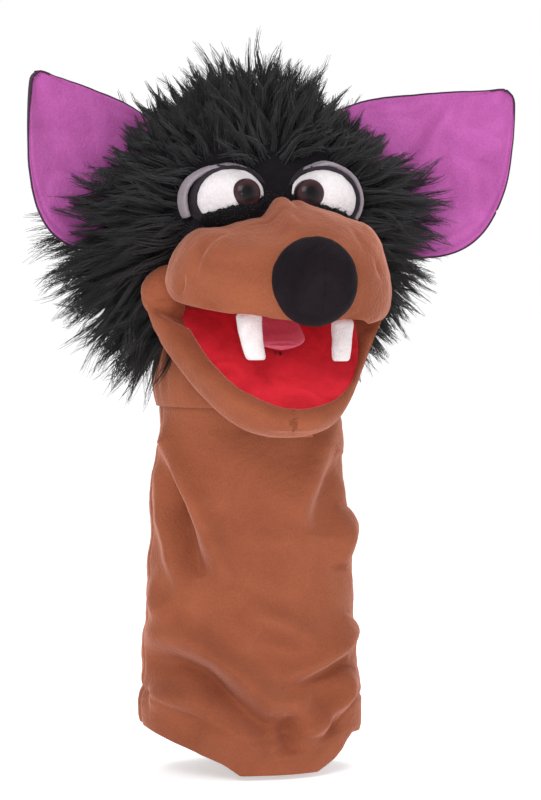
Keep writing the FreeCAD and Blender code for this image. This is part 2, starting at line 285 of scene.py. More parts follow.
LID_PILE = pile_material("lid_pile", (0.20, 0.165, 0.19), (0.35, 0.30, 0.335), sheen=0.4, grain=800.0)
OUTLINE_PILE = pile_material("outline_pile", (0.010, 0.007, 0.011), (0.035, 0.025, 0.034), sheen=0.2,
                             grain=800.0)
RED_FELT = felt_material("red_felt", (0.52, 0.010, 0.022), (0.78, 0.024, 0.044))
PINK_FELT = felt_material("pink_felt", (0.62, 0.10, 0.17), (0.82, 0.19, 0.28))
FANG_FELT = felt_material("fang_felt", (0.62, 0.545, 0.56), (0.80, 0.73, 0.735), bump=0.7)
LINING = felt_material("lining_weave", (0.03, 0.018, 0.018), (0.07, 0.045, 0.045), bump=0.2)
THREAD = felt_material("thread", (0.22, 0.060, 0.026), (0.34, 0.10, 0.046), bump=0.6)
WASHER = felt_material("washer", (0.55, 0.55, 0.55), (0.70, 0.70, 0.70), bump=0.05)
FUR = fur_material("black_fur", (0.0035, 0.0032, 0.004), (0.021, 0.019, 0.024))


# ---- camera, floor and light ----
VIEW_TURN = math.radians(-15.0)
VIEW_RISE = math.radians(2.0)
VIEW_DISTANCE = 2.0
PICTURE_HEIGHT = 0.542


def make_camera():
    back = Vector((
        math.sin(VIEW_TURN) * math.cos(VIEW_RISE),
        -math.cos(VIEW_TURN) * math.cos(VIEW_RISE),
        math.sin(VIEW_RISE),
    ))
    right = Vector((math.cos(VIEW_TURN), math.sin(VIEW_TURN), 0.0))
    aim = right * 0.0139 + Vector((0.0, 0.0, 0.2495))
    data = bpy.data.cameras.new("camera")
    data.lens = 36.0 * VIEW_DISTANCE / PICTURE_HEIGHT
    camera = bpy.data.objects.new("camera", data)
    camera.location = aim + back * VIEW_DISTANCE
    camera.rotation_euler = (-back).to_track_quat("-Z", "Y").to_euler()
    bpy.context.scene.collection.objects.link(camera)
    bpy.context.scene.camera = camera


def add_area(name, place, aim, size, power):
    data = bpy.data.lights.new(name, "AREA")
    data.size = size
    data.energy = power
    light = bpy.data.objects.new(name, data)
    light.location = place
    light.rotation_euler = (Vector(place) - Vector(aim)).to_track_quat("Z", "Y").to_euler()
    bpy.context.scene.collection.objects.link(light)


def make_studio():
    mesh = bpy.data.meshes.new("floor")
    side = 40.0
    corners = [(x * side, y * side, -1.5 * MM) for x, y in ((-1, -1), (1, -1), (1, 1), (-1, 1))]
    mesh.from_pydata(corners, [], [(0, 1, 2, 3)])
    floor = bpy.data.objects.new("floor", mesh)
    bpy.context.scene.collection.objects.link(floor)
    material, _, _, shader = node_material("floor_paper")
    set_inputs(shader, Base_Color=(0.95, 0.95, 0.95, 1.0), Roughness=0.9, Emission_Color=(1.0, 1.0, 1.0, 1.0),
               Emission_Strength=0.5)
    mesh.materials.append(material)
    world = bpy.data.worlds.new("studio")
    world.use_nodes = True
    tree = world.node_tree
    soft = tree.nodes["Background"]
    paper = tree.nodes.new("ShaderNodeBackground")
    for background, strength in ((soft, 0.60), (paper, 1.0)):
        set_inputs(background, Color=(1.0, 1.0, 1.0, 1.0), Strength=strength)
    seen = tree.nodes.new("ShaderNodeLightPath")
    either = tree.nodes.new("ShaderNodeMixShader")
    tree.links.new(seen.outputs["Is Camera Ray"], either.inputs["Fac"])
    tree.links.new(soft.outputs["Background"], either.inputs[1])
    tree.links.new(paper.outputs["Background"], either.inputs[2])
    tree.links.new(either.outputs["Shader"], tree.nodes["World Output"].inputs["Surface"])
    bpy.context.scene.world = world
    bpy.context.scene.view_settings.view_transform = "Standard"
    head = (0.0, -0.05, 0.3)
    add_area("key", (-0.75, -1.5, 1.15), head, 0.8, 16.0)
    add_area("fill", (1.3, -1.2, 0.7), head, 1.2, 4.0)
    add_area("spark", (-0.42, -1.75, 0.36), head, 0.05, 1.6)
    add_area("top", (0.2, 0.5, 1.6), head, 1.0, 9.0)


# ---- sleeve ----
SLEEVE = [
    (0.0, 71.0, 53.0),
    (22.0, 75.0, 55.0),
    (46.0, 77.0, 57.0),
    (85.0, 74.0, 56.0),
    (146.0, 70.0, 54.0),
    (200.0, 66.0, 53.0),
    (232.0, 62.0, 52.0),
    (256.0, 61.5, 59.0),
    (275.0, 60.5, 60.5),
    (292.0, 54.0, 54.0),
]
HEM_SIDE = [-74.0, -60.0, -39.0, -17.0, -6.0, 46.0, 57.0, 66.0]
HEM_RISE = [35.0, 29.0, 20.0, 10.0, 2.0, 2.0, 10.0, 25.0]
SLEEVE_ROWS = 200
SLEEVE_COLS = 220

# folds: (ridge height, half width, path of (side, height)) seen from the front, in millimetres
FRONT_FOLDS = [
    (8.0, 8.0, [(-66, 238), (-52, 212), (-36, 185), (-21, 146), (-14, 126)]),
    (-8.0, 6.5, [(-58, 222), (-50, 190), (-42, 160), (-34, 134)]),
    (5.0, 6.0, [(-62, 208), (-56, 172), (-48, 140), (-40, 118)]),
    (5.0, 9.0, [(54, 240), (49, 222), (37, 188), (32, 168)]),
    (-4.0, 9.0, [(62, 214), (52, 186), (48, 160)]),
    (5.5, 7.0, [(68, 176), (64, 160), (58, 138)]),
    (4.0, 9.0, [(-4, 116), (12, 106), (30, 99), (50, 86)]),
    (-3.0, 9.0, [(4, 92), (24, 84), (38, 74)]),
    (5.0, 9.0, [(-74, 128), (-60, 114), (-46, 112)]),
    (8.5, 10.0, [(-74, 94), (-50, 94), (-32, 89), (-9, 73), (15, 51), (40, 46)]),
    (-8.5, 8.0, [(-70, 76), (-48, 77), (-30, 70), (-13, 55), (9, 37), (32, 41)]),
    (8.0, 9.0, [(72, 100), (60, 90), (46, 77), (22, 62)]),
    (-6.0, 6.0, [(62, 78), (47, 68), (22, 56)]),
    (8.0, 7.5, [(66, 70), (60, 52), (46, 36), (27, 24)]),
    (-6.5, 7.0, [(30, 42), (27, 32), (29, 16)]),
    (6.0, 8.0, [(-68, 52), (-54, 54), (-36, 52), (-26, 46)]),
    (5.0, 12.0, [(-34, 30), (-12, 28), (12, 20)]),
    (-4.0, 7.0, [(46, 62), (52, 44), (58, 26)]),
]
BACK_FOLDS = [
    (6.0, 11.0, [(-56, 226), (-30, 190), (-16, 150), (-14, 110)]),
    (-5.0, 10.0, [(-30, 236), (-8, 190), (2, 150)]),
    (6.0, 11.0, [(50, 220), (34, 180), (26, 140)]),
    (6.0, 11.0, [(-70, 100), (-30, 78), (14, 64), (66, 86)]),
    (-5.0, 10.0, [(-66, 78), (-26, 56), (20, 44), (62, 66)]),
    (5.0, 10.0, [(-66, 46), (-28, 26), (20, 18), (60, 34)]),
]


def fold_height(side, height, folds):
    total = np.zeros(len(side))
    points = np.stack([side, height], axis=1)
    for ridge, width, path in folds:
        best = np.zeros(len(side))
        count = len(path) - 1
        for i in range(count):
            gap, along = segment_distance(points, np.array(path[i], float), np.array(path[i + 1], float))
            place = (i + along) / count
            fade = np.clip(np.sin(np.clip(place, 0.0, 1.0) * math.pi), 0.0, 1.0) ** 0.6
            best = np.maximum(best, np.exp(-((gap / width) ** 2)) * fade)
        total += 1.6 * ridge * best
    return total


def make_sleeve():
    heights = np.array([row[0] for row in SLEEVE])
    half_x = np.array([row[1] for row in SLEEVE])
    half_y = np.array([row[2] for row in SLEEVE])
    angle = np.linspace(0.0, 2.0 * math.pi, SLEEVE_COLS, endpoint=False)
    part = np.linspace(0.0, 1.0, SLEEVE_ROWS)
    angles = np.tile(angle, SLEEVE_ROWS)
    parts = np.repeat(part, SLEEVE_COLS)
    # the hem hangs lowest in the middle and is drawn up at the left side
    hem_side = 71.0 * np.cos(angles) * math.cos(VIEW_TURN) + 53.0 * np.sin(angles) * math.sin(VIEW_TURN)
    hem = np.interp(hem_side, HEM_SIDE, HEM_RISE)
    hem = hem + 3.0 * smooth(0.0, 0.9, np.sin(angles))
    # the top edge is low in front, where the open jaw swings in
    top = heights[-1] - 44.0 * smooth(0.54, 0.76, -np.sin(angles))
    z = hem + (top - hem) * parts
    rx = np.interp(z, heights, half_x)
    ry = np.interp(z, heights, half_y)
    x = rx * np.cos(angles)
    y = ry * np.sin(angles)
    normal = np.stack([np.cos(angles) / rx, np.sin(angles) / ry], axis=1)
    normal /= np.linalg.norm(normal, axis=1)[:, None]
    across = x * math.cos(VIEW_TURN) + y * math.sin(VIEW_TURN)
    front = smooth(0.15, -0.35, np.sin(angles))
    lift = fold_height(across, z, FRONT_FOLDS) * front
    lift += fold_height(across, z, BACK_FOLDS) * (1.0 - front)
    points = np.stack([x, y, z], axis=1)
    lift += 1.6 * wobble(points, 70.0, 11) + 0.8 * wobble(points, 26.0, 12)
    lift *= smooth(262.0, 236.0, z) * 0.9 + 0.1
    # turned hem: a stitched line stands in, the fold below it is fuller
    above_hem = (z - hem)
    lift -= 1.3 * np.exp(-(((above_hem - 24.0) / 2.2) ** 2))
    lift += 0.9 * smooth(24.0, 10.0, above_hem) * smooth(-1.0, 5.0, above_hem)
    # the two side seams
    seam = np.minimum(np.abs(np.sin(angles)), 1.0)
    lift -= 1.4 * np.exp(-((seam / 0.035) ** 2)) * smooth(262.0, 230.0, z)
    x += normal[:, 0] * lift
    y += normal[:, 1] * lift
    sag = 3.0 * wobble(points, 90.0, 15) * smooth(0.0, 60.0, z) * smooth(250.0, 200.0, z)
    x += sag
    verts = np.stack([x, y, np.maximum(z, 0.0)], axis=1) * MM
    faces = grid_faces(SLEEVE_ROWS, SLEEVE_COLS)
    sleeve = new_object("sleeve_cloth", verts, faces, BROWN, None)
    solidify(sleeve, 2.4 * MM)
    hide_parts("sleeve_front_panel", "sleeve_back_panel", "sleeve_hem_facing", "neck_skin")
    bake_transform(sleeve)


# ---- head: dark base cloth and the long locks ----
def inside(point, centre, radii, grow=0.0):
    q = (point - centre) / (radii + grow)
    return float(q @ q) < 1.0


def make_fur_base():
    rows = 70
    cols = 110
    points = ball_points(rows, cols, SKULL_C, SKULL_R + 3.0 * MM, 0.004, 0.992)
    # open below for the neck
    keep = np.linalg.norm(points - np.array(NECK), axis=1) > 67.0 * MM
    keep &= (points[:, 2] > 280.0 * MM)
    keep &= ~((points[:, 1] < -28.0 * MM) & (points[:, 2] < 327.0 * MM))
    faces = [f for f in grid_faces(rows, cols, flip=True) if all(keep[k] for k in f)]
    points += wobble(points, 20.0 * MM, 31)[:, None] * (points - SKULL_C) * 0.012
    base = new_object("fur_base", points, faces, BLACK_PILE, "head")
    solidify(base, 2.0 * MM)
    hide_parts("head_fur")
    return base


EYE_C = np.array([30.5, -62.0, 383.0]) * MM
EYE_R = np.array([25.5, 20.0, 21.5]) * MM


def bare(point):
    """Places on the head with no long pile."""
    x, y, z = point / MM
    if inside(point, MUZZLE_C, MUZZLE_R, 3.0 * MM):
        return True
    mirrored = np.array([abs(point[0]), point[1], point[2]])
    if inside(mirrored, EYE_C, EYE_R, 5.0 * MM):
        return True
    if y < -20.0 and abs(x) < 50.0 and z < 392.0:
        return True
    if y < -20.0 and abs(x) < 17.0 and z < 405.0:
        return True
    if y < -30.0 and abs(x) < 96.0 and z < 345.0:
        return True
    if z < 284.0:
        return True
    return np.linalg.norm(point - np.array(NECK)) < 66.0 * MM


def unit(vectors):
    return vectors / (np.linalg.norm(vectors, axis=-1, keepdims=True) + 1e-12)


def tubes(lines, radii, sides, seeds):
    """Tapered strands along lines of shape (strands, steps, 3), as arrays of corners, faces and UVs."""
    count, steps = lines.shape[:2]
    ahead = unit(np.gradient(lines, axis=1))
    helper = np.where(np.abs(ahead[..., 2:3]) < 0.9, [[[0.0, 0.0, 1.0]]], [[[1.0, 0.0, 0.0]]])
    across = unit(np.cross(ahead, helper))
    other = np.cross(ahead, across)
    turn = 2.0 * math.pi * np.arange(sides) / sides
    ring = across[:, :, None, :] * np.cos(turn)[None, None, :, None]
    ring = ring + other[:, :, None, :] * np.sin(turn)[None, None, :, None]
    verts = (lines[:, :, None, :] + ring * radii[:, :, None, None]).reshape(-1, 3)
    first = np.arange(count)[:, None, None] * steps * sides + np.arange(steps - 1)[None, :, None] * sides
    k = np.arange(sides)[None, None, :]
    m = (k + 1) % sides
    faces = np.stack([first + k, first + m, first + sides + m, first + sides + k], axis=-1).reshape(-1, 4)
    u = seeds[:, None, None] + k / sides + np.zeros((count, steps, sides))
    v = np.zeros((count, steps, sides)) + (np.arange(steps) / (steps - 1))[None, :, None]
    return verts, faces, np.stack([u, v], axis=-1).reshape(-1, 2)


def hair_object(name, groups, material, body):
    """One piece from several groups of strands, each (lines, radii, sides)."""
    rng = np.random.default_rng(len(name))
    verts = []
    faces = []
    uvs = []
    total = 0
    for lines, radii, sides in groups:
        v, f, w = tubes(lines, radii, sides, rng.uniform(0.0, 50.0, len(lines)))
        verts.append(v)
        faces.append(f + total)
        uvs.append(w)
        total += len(v)
    faces = [tuple(f) for f in np.concatenate(faces).tolist()]
    return new_object(name, np.concatenate(verts), faces, material, body, np.concatenate(uvs))


def locks(roots, starts, ends, lengths, widths, hairs, rng):
    """Pointed wavy locks: a thin core each, and loose hairs that gather and split at the tip."""
    steps = 7
    count = len(roots)
    t = np.linspace(0.0, 1.0, steps)
    mix = (t ** 0.8)[None, :, None]
    way = unit(starts[:, None, :] * (1.0 - mix) + ends[:, None, :] * mix)
    moves = way[:, 1:] * (lengths / (steps - 1))[:, None, None]
    run = np.concatenate([np.zeros((count, 1, 3)), np.cumsum(moves, axis=1)], axis=1)
    line = roots[:, None, :] + run
    side = unit(np.cross(starts, rng.normal(size=(count, 3))))
    phase = rng.uniform(0.0, 2.0 * math.pi, count)
    swing = lengths * rng.uniform(0.025, 0.06, count)
    turns = t[None, :] * rng.uniform(4.5, 8.0, count)[:, None]
    wave = np.sin(turns + phase[:, None]) - np.sin(phase)[:, None]
    line += side[:, None, :] * (wave * swing[:, None])[..., None]
    core_radius = widths[:, None] * 0.42 * np.clip(1.0 - t[None, :] * 1.15, 0.04, 1.0) ** 0.8
    core = (line, core_radius, 5)
    away = unit(np.cross(starts[:, None, :], rng.normal(size=(count, hairs, 3))))
    spread = widths[:, None] * rng.uniform(0.35, 1.25, (count, hairs))
    reach = rng.uniform(0.70, 1.12, (count, hairs))
    flare = rng.uniform(-0.1, 0.65, (count, hairs))
    gather = ((1.0 - t) ** 0.7)[None, None, :] + flare[..., None] * smooth(0.55, 1.0, t)[None, None, :]
    own = roots[:, None, None, :] + (line[:, None] - roots[:, None, None, :]) * reach[..., None, None]
    own = own + away[:, :, None, :] * (spread[..., None] * gather)[..., None]
    ripple = np.sin(t[None, None, :] * rng.uniform(6.0, 11.0, (count, hairs))[..., None]
                    + rng.uniform(0.0, 6.28, (count, hairs))[..., None]) * t[None, None, :]
    sway = unit(np.cross(starts[:, None, :], rng.normal(size=(count, hairs, 3))))
    own = own + sway[:, :, None, :] * (ripple * swing[:, None, None] * 0.6)[..., None]
    thick = rng.uniform(0.34, 0.60, (count, hairs)) * MM
    radii = thick[..., None] * (1.0 - 0.82 * t)[None, None, :]
    return [core, (own.reshape(-1, steps, 3), radii.reshape(-1, steps), 3)]


def lock_shape(normal, root, rng):
    """Start and end direction and length of a lock: crown up, cheeks out and down, back down."""
    height = (root[2] - SKULL_C[2]) / SKULL_R[2]
    side = math.copysign(1.0, normal[0])
    out = np.array([side, 0.0, 0.0])
    up = np.array([0.0, 0.0, 1.0])
    crown = float(smooth(0.25, 0.85, height))
    low = float(smooth(0.15, -0.7, height))
    start = normal + up * (0.35 * crown - 0.30 * low) + out * 0.3 * (1.0 - crown)
    end = normal * 0.35 + up * (0.9 * crown - 0.12 - 0.85 * low) + out * (0.75 - 0.35 * crown - 0.15 * low)
    behind = float(smooth(0.1, 0.7, normal[1]))
    end = end * (1.0 - behind) + (normal * 0.3 - up * 0.9) * behind
    start += rng.normal(scale=0.18, size=3)
    end += rng.normal(scale=0.34, size=3)
    length = 53.0 - 23.0 * crown
    if side > 0.0:
        length *= 1.0 - 0.30 * float(smooth(0.35, -0.2, height))
    length *= 1.0 - 0.38 * behind
    if abs(root[0]) > 0.034 and root[1] < 0.012 and height > 0.20:
        length *= 1.0 - 0.42 * float(smooth(0.20, 0.50, height))
    length *= rng.uniform(0.82, 1.12)
    if crown > 0.6 and rng.uniform() < 0.07:
        length *= 1.5
    if normal[1] < -0.55:
        length *= 0.85
    return start, end, length * MM


def make_fur():
    rng = np.random.default_rng(7)
    regions = {}
    wanted = 2300
    golden = math.pi * (3.0 - math.sqrt(5.0))
    for i in range(wanted):
        z = 1.0 - 2.0 * (i + 0.5) / wanted
        ring = math.sqrt(1.0 - z * z)
        direction = np.array([ring * math.cos(golden * i), ring * math.sin(golden * i), z])
        direction = unit(direction + rng.normal(scale=0.02, size=3))
        root = SKULL_C + direction * (SKULL_R + 1.0 * MM)
        if bare(root):
            continue
        normal = unit(direction / SKULL_R)
        place = "left" if normal[0] < 0.0 else "right"
        if normal[2] > 0.62:
            region = "fur_crown_" + place
        elif normal[1] > 0.35:
            region = "fur_back_" + place
        else:
            region = "fur_cheek_" + place
        regions.setdefault(region, []).append((root, normal) + lock_shape(normal, root, rng))
    for name, rows in regions.items():
        roots = np.array([row[0] for row in rows])
        starts = unit(np.array([row[2] for row in rows]))
        ends = unit(np.array([row[3] for row in rows]))
        lengths = np.array([row[4] for row in rows])
        widths = rng.uniform(2.6, 4.6, len(rows)) * MM
        hair_object(name, locks(roots, starts, ends, lengths, widths, 11, rng), FUR, "head")


# height of the short black pile's upper edge in front of the eyes, by distance from the middle
BROW_X = [-66.0, -58.0, -44.0, -30.0, -14.0, -5.0, 2.0, 20.0, 36.0, 51.0, 62.0]
BROW_TOP = [362.0, 368.5, 373.5, 377.5, 381.0, 387.0, 386.0, 380.0, 375.5, 370.5, 364.0]


def face_depth(x, z):
    """The most forward of the eyes and skull at a place of the face, all in millimetres."""
    depth = np.full(x.shape, -30.0)
    for centre, radii in ((EYE_C / MM, EYE_R / MM), (SKULL_C / MM, SKULL_R / MM + 2.0)):
        q = 1.0 - ((np.abs(x) - centre[0]) / radii[0]) ** 2 - ((z - centre[2]) / radii[2]) ** 2
        surface = centre[1] - radii[1] * np.sqrt(np.maximum(q, 0.0))
        depth = np.minimum(depth, np.where(q > 0.0, surface, -30.0))
    return depth


def make_brow():
    """Short-pile cloth between the eyes and the muzzle, with its cut pile standing along the edge."""
    rows = 34
    cols = 120
    x = np.tile(np.linspace(-66.0, 62.0, cols), rows).reshape(rows, cols)
    f = np.repeat(np.linspace(0.0, 1.0, rows), cols).reshape(rows, cols)
    top = np.interp(x, BROW_X, BROW_TOP)
    top = top + 0.5 * np.sin(x * 0.9) + 0.4 * np.sin(x * 2.3 + 1.0)
    z = 346.0 + (top - 346.0) * np.minimum(f * 1.06, 1.0)
    y = face_depth(x, z)
    for _ in range(10):
        y[1:-1, 1:-1] = (y[:-2, 1:-1] + y[2:, 1:-1] + y[1:-1, :-2] + y[1:-1, 2:]) / 4.0
    y = np.minimum(y, face_depth(x, z)) - 2.2
    y = y + 5.0 * smooth(0.90, 1.0, f)
    y = y + 6.0 * smooth(52.0, 66.0, np.abs(x + 2.0))
    points = np.stack([x, y, z], axis=-1).reshape(-1, 3) * MM
    faces = grid_faces(rows, cols, wrap=False)
    brow = new_object("brow_pile", points, faces, BLACK_PILE, "head")
    solidify(brow, 1.6 * MM, 1.0)
    rng = np.random.default_rng(17)
    count = 2600
    i = (rows - 2) - (rng.uniform(0.0, 1.0, count) ** 1.4 * (rows - 4)).astype(int)
    j = rng.integers(1, cols - 1, count)
    grid = points.reshape(rows, cols, 3)
    roots = grid[i, j] + rng.normal(scale=0.6 * MM, size=(count, 3)) * np.array([1.0, 0.2, 1.0])
    steps = 4
    t = np.linspace(0.0, 1.0, steps)
    lean = np.stack([
        np.sign(roots[:, 0] + 0.002) * rng.uniform(0.0, 0.8, count),
        -rng.uniform(0.5, 1.0, count),
        rng.uniform(0.2, 1.0, count),
    ], axis=1)
    lean = unit(lean + rng.normal(scale=0.25, size=(count, 3)))
    lengths = rng.uniform(3.0, 5.5, count) * MM
    lines = roots[:, None, :] + lean[:, None, :] * (t[None, :] * lengths[:, None])[..., None]
    lines[:, :, 2] -= (t ** 2)[None, :] * 0.0012
    radii = rng.uniform(0.28, 0.42, count)[:, None] * MM * (1.0 - 0.8 * t)[None, :]
    hair_object("brow_hairs", [(lines, radii, 3)], FUR, "head")


# ---- stuffed muzzle with darts and a centre seam ----
def outline_radius(ring, centre_s, angle):
    """Distance from (0, centre_s) to a closed ring of (x, distance) points."""
    best = None
    dx = math.sin(angle)
    ds = math.cos(angle)
    for i in range(len(ring)):
        x0, s0 = ring[i]
        x1, s1 = ring[(i + 1) % len(ring)]
        ex = x1 - x0
        es = s1 - s0
        det = dx * es - ds * ex
        if abs(det) < 1e-9:
            continue
        r = (x0 * es - (s0 - centre_s) * ex) / det
        u = (x0 * ds - (s0 - centre_s) * dx) / det
        if r > 0.0 and -1e-6 <= u <= 1.0 + 1e-6:
            best = r if best is None else min(best, r)
    return best


def rounded(points, steps=6, mirrored=True):
    """Catmull-Rom rounding of an outline's corner points, which may go on mirrored past the last one."""
    result = []
    count = len(points)
    for i in range(count - 1):
        p0 = np.array(points[max(i - 1, 0)], dtype=float)
        p1 = np.array(points[i], dtype=float)
        p2 = np.array(points[i + 1], dtype=float)
        p3 = np.array(points[min(i + 2, count - 1)], dtype=float)
        if i + 2 >= count and mirrored:
            p3 = np.array([-points[-2][0], points[-2][1]], dtype=float)
        for k in range(steps):
            u = k / steps
            a = 2.0 * p1
            b = p2 - p0
            c = 2.0 * p0 - 5.0 * p1 + 4.0 * p2 - p3
            d = -p0 + 3.0 * p1 - 3.0 * p2 + p3
            result.append(tuple(0.5 * (a + b * u + c * u * u + d * u ** 3)))
    result.append(tuple(points[-1]))
    return result


JAW_RIGHT = rounded([
    (82.0, 1.5), (77.0, 14.0), (68.0, 32.0), (54.0, 60.0), (42.0, 84.0), (29.0, 102.0), (12.0, 114.0),
    (0.0, 117.0),
])
JAW_LEFT = rounded([
    (82.0, 1.5), (80.0, 20.0), (73.0, 42.0), (58.0, 73.0), (42.0, 97.0), (20.0, 113.0), (0.0, 117.0),
])
JAW_INNER = rounded([(58.0, 1.5), (54.0, 40.0), (41.5, 75.0), (22.0, 94.0), (0.0, 101.0)])
PALATE_INNER = rounded([(58.0, 1.5), (56.0, 40.0), (45.0, 75.0), (31.0, 88.0), (0.0, 93.0)])


def radius_table(points, centre_s, left=None):
    """Radius of an outline by angle, its left side mirrored from the right one or given."""
    other = points if left is None else left
    ring = list(points) + [(-x, s) for x, s in reversed(other[:-1])]
    angles = np.linspace(-math.pi, math.pi, 361)
    values = np.array([outline_radius(ring, centre_s, a) for a in angles])
    return angles, values


def roll(x):
    """Both lips stand a little higher at the left than at the right, in millimetres."""
    return 4.0 * smooth(10.0, -60.0, x) - 5.0 * smooth(0.0, 55.0, x)


# creases: (width, depth, path of (side, height)) as seen from the front, in millimetres
MUZZLE_CREASES = [
    (3.0, 3.6, [(-16, 362), (-28, 349), (-34, 332)]),
    (3.4, -1.8, [(-11, 364), (-18, 350), (-21, 344)]),
    (2.6, 2.4, [(-41, 331), (-43, 322)]),
    (3.6, 1.8, [(-9, 343), (-4, 339)]),
    (2.4, 2.0, [(3, 374), (12, 376), (22, 375)]),
    (2.2, 1.4, [(24, 382), (30, 372), (36, 362)]),
    (4.0, 2.6, [(80, 341), (84, 333)]),
    (3.0, 2.2, [(66, 362), (72, 350)]),
    (3.2, 2.4, [(-30, 318), (-18, 311)]),
    (3.0, 2.0, [(60, 303), (70, 309)]),
    (2.4, 2.0, [(41, 303), (43, 292)]),
]


def on_muzzle(side, height):
    """Place on the muzzle's skin that lies at this side and height when seen from the front."""
    right = np.array([math.cos(VIEW_TURN), math.sin(VIEW_TURN), 0.0])
    back = np.array([math.sin(VIEW_TURN), -math.cos(VIEW_TURN), 0.0])
    start = (right * side * MM + np.array([0.0, 0.0, height * MM]) - MUZZLE_C) / MUZZLE_R
    way = back / MUZZLE_R
    a = way @ way
    b = 2.0 * (start @ way)
    c = start @ start - 1.0
    root = math.sqrt(max(0.0, b * b - 4.0 * a * c))
    hit = start + way * ((-b + root) / (2.0 * a))
    return MUZZLE_C + hit / np.linalg.norm(hit) * MUZZLE_R


def make_muzzle():
    rows = 250
    cols = 330
    points = ball_points(rows, cols, MUZZLE_C, MUZZLE_R, 0.006, 0.724, True, (0.96, 0.98, 0.95))
    normals = unit((points - MUZZLE_C) / (MUZZLE_R ** 2))
    for width, depth, path in MUZZLE_CREASES:
        line = [on_muzzle(side, height) for side, height in path]
        points = crease(points, normals, line, width * MM, depth * MM)
    lumps = 1.0 * wobble(points, 40.0 * MM, 41) + 0.3 * wobble(points, 13.0 * MM, 42)
    points += normals * lumps[:, None] * MM
    # the top is lower left of the seam, and the right shoulder is fuller
    x = points[:, 0] / MM
    dip = smooth(-60.0, -36.0, x) * smooth(-3.0, -14.0, x) * smooth(0.344, 0.374, points[:, 2])
    full = np.exp(-(((x - 62.0) / 14.0) ** 2)) * smooth(0.330, 0.352, points[:, 2])
    points[:, 2] += (6.0 * full - 9.0 * dip) * MM
    # gathered bump where the seam meets the brow, with a notch beside it
    over = smooth(-0.112, -0.080, points[:, 1]) * smooth(0.350, 0.372, points[:, 2])
    bump = 3.4 * np.exp(-(((x - 0.5) / 6.0) ** 2)) + 2.0 * np.exp(-(((x - 12.0) / 6.0) ** 2))
    bump -= 1.6 * np.exp(-(((x - 6.0) / 2.2) ** 2))
    points[:, 2] += bump * over * MM
    # press the underside flat along the lip and hollow it for the palate
    cs = math.cos(PALATE_TILT)
    sn = math.sin(PALATE_TILT)
    dy = points[:, 1] - FOLD.y
    dz = points[:, 2] - FOLD.z
    s = -dy * cs - dz * sn
    t = -dy * sn + dz * cs
    x = points[:, 0]
    soft = 3.5 * MM
    corner = 7.0 * smooth(42.0, 8.0, s / MM) + roll(x / MM)
    floor_t = (0.8 + corner) * MM
    pressed = floor_t + soft * np.log1p(np.exp(np.clip((t - floor_t) / soft, -40.0, 40.0)))
    table_a, table_r = radius_table(PALATE_INNER, MOUTH_MIDDLE)
    angle = np.arctan2(x / MM, s / MM - MOUTH_MIDDLE)
    radius = np.hypot(x / MM, s / MM - MOUTH_MIDDLE)
    rim = np.interp(angle, table_a, table_r)
    under = smooth(6.0, -1.0, (t - floor_t) / MM)
    hollow = smooth(rim + 3.0, rim - 4.0, radius) * under
    roof = MOUTH_DEPTH + 1.0 * MM
    t_new = pressed * (1.0 - hollow) + np.maximum(pressed, roof) * hollow
    points[:, 1] = FOLD.y - s * cs - t_new * sn
    points[:, 2] = FOLD.z - s * sn + t_new * cs
    faces = grid_faces(rows, cols)
    faces.append(tuple(range(cols))[::-1])
    muzzle = new_object("muzzle_plush", points, faces, BROWN, "head")
    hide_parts("muzzle_left_panel", "muzzle_right_panel", "muzzle_stuffing")


def lining_patch(name, outline, tilt, level, material, body, node, bow, margin):
    """Felt lining: a polar patch that dips or rises a little in its middle."""
    rings = 28
    cols = 120
    table_a, table_r = radius_table(outline, MOUTH_MIDDLE)
    verts = [mouth_point(0.0, MOUTH_MIDDLE * MM, level + bow, tilt)]
    for i in range(1, rings + 1):
        f = i / rings
        for j in range(cols):
            a = -math.pi + 2.0 * math.pi * j / cols
            r = np.interp(a, table_a, table_r) + margin
            x = math.sin(a) * r * f
            s = MOUTH_MIDDLE + math.cos(a) * r * f
            t = level + bow * (1.0 - f * f)
            verts.append(mouth_point(x * MM, s * MM, t, tilt))
    points = np.array(verts)
    up = np.array([0.0, -math.sin(tilt), math.cos(tilt)])
    points += up * (0.35 * wobble(points, 30.0 * MM, 51) * MM)[:, None]
    faces = [(0, 1 + j, 1 + (j + 1) % cols) for j in range(cols)]
    faces += [tuple(k + 1 for k in f) for f in grid_faces(rings, cols)]
    patch = new_object(name, points, faces, material, body)
    solidify(patch, 1.2 * MM, 0.0)
    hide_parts(node)
    return patch


# ---- lower jaw ----
JAW_PROFILE_S = [0.0, 26.0, 44.0, 66.0, 100.0, 110.0, 117.0]
JAW_PROFILE_D = [10.0, 12.0, 21.0, 32.0, 36.5, 29.0, 8.0]


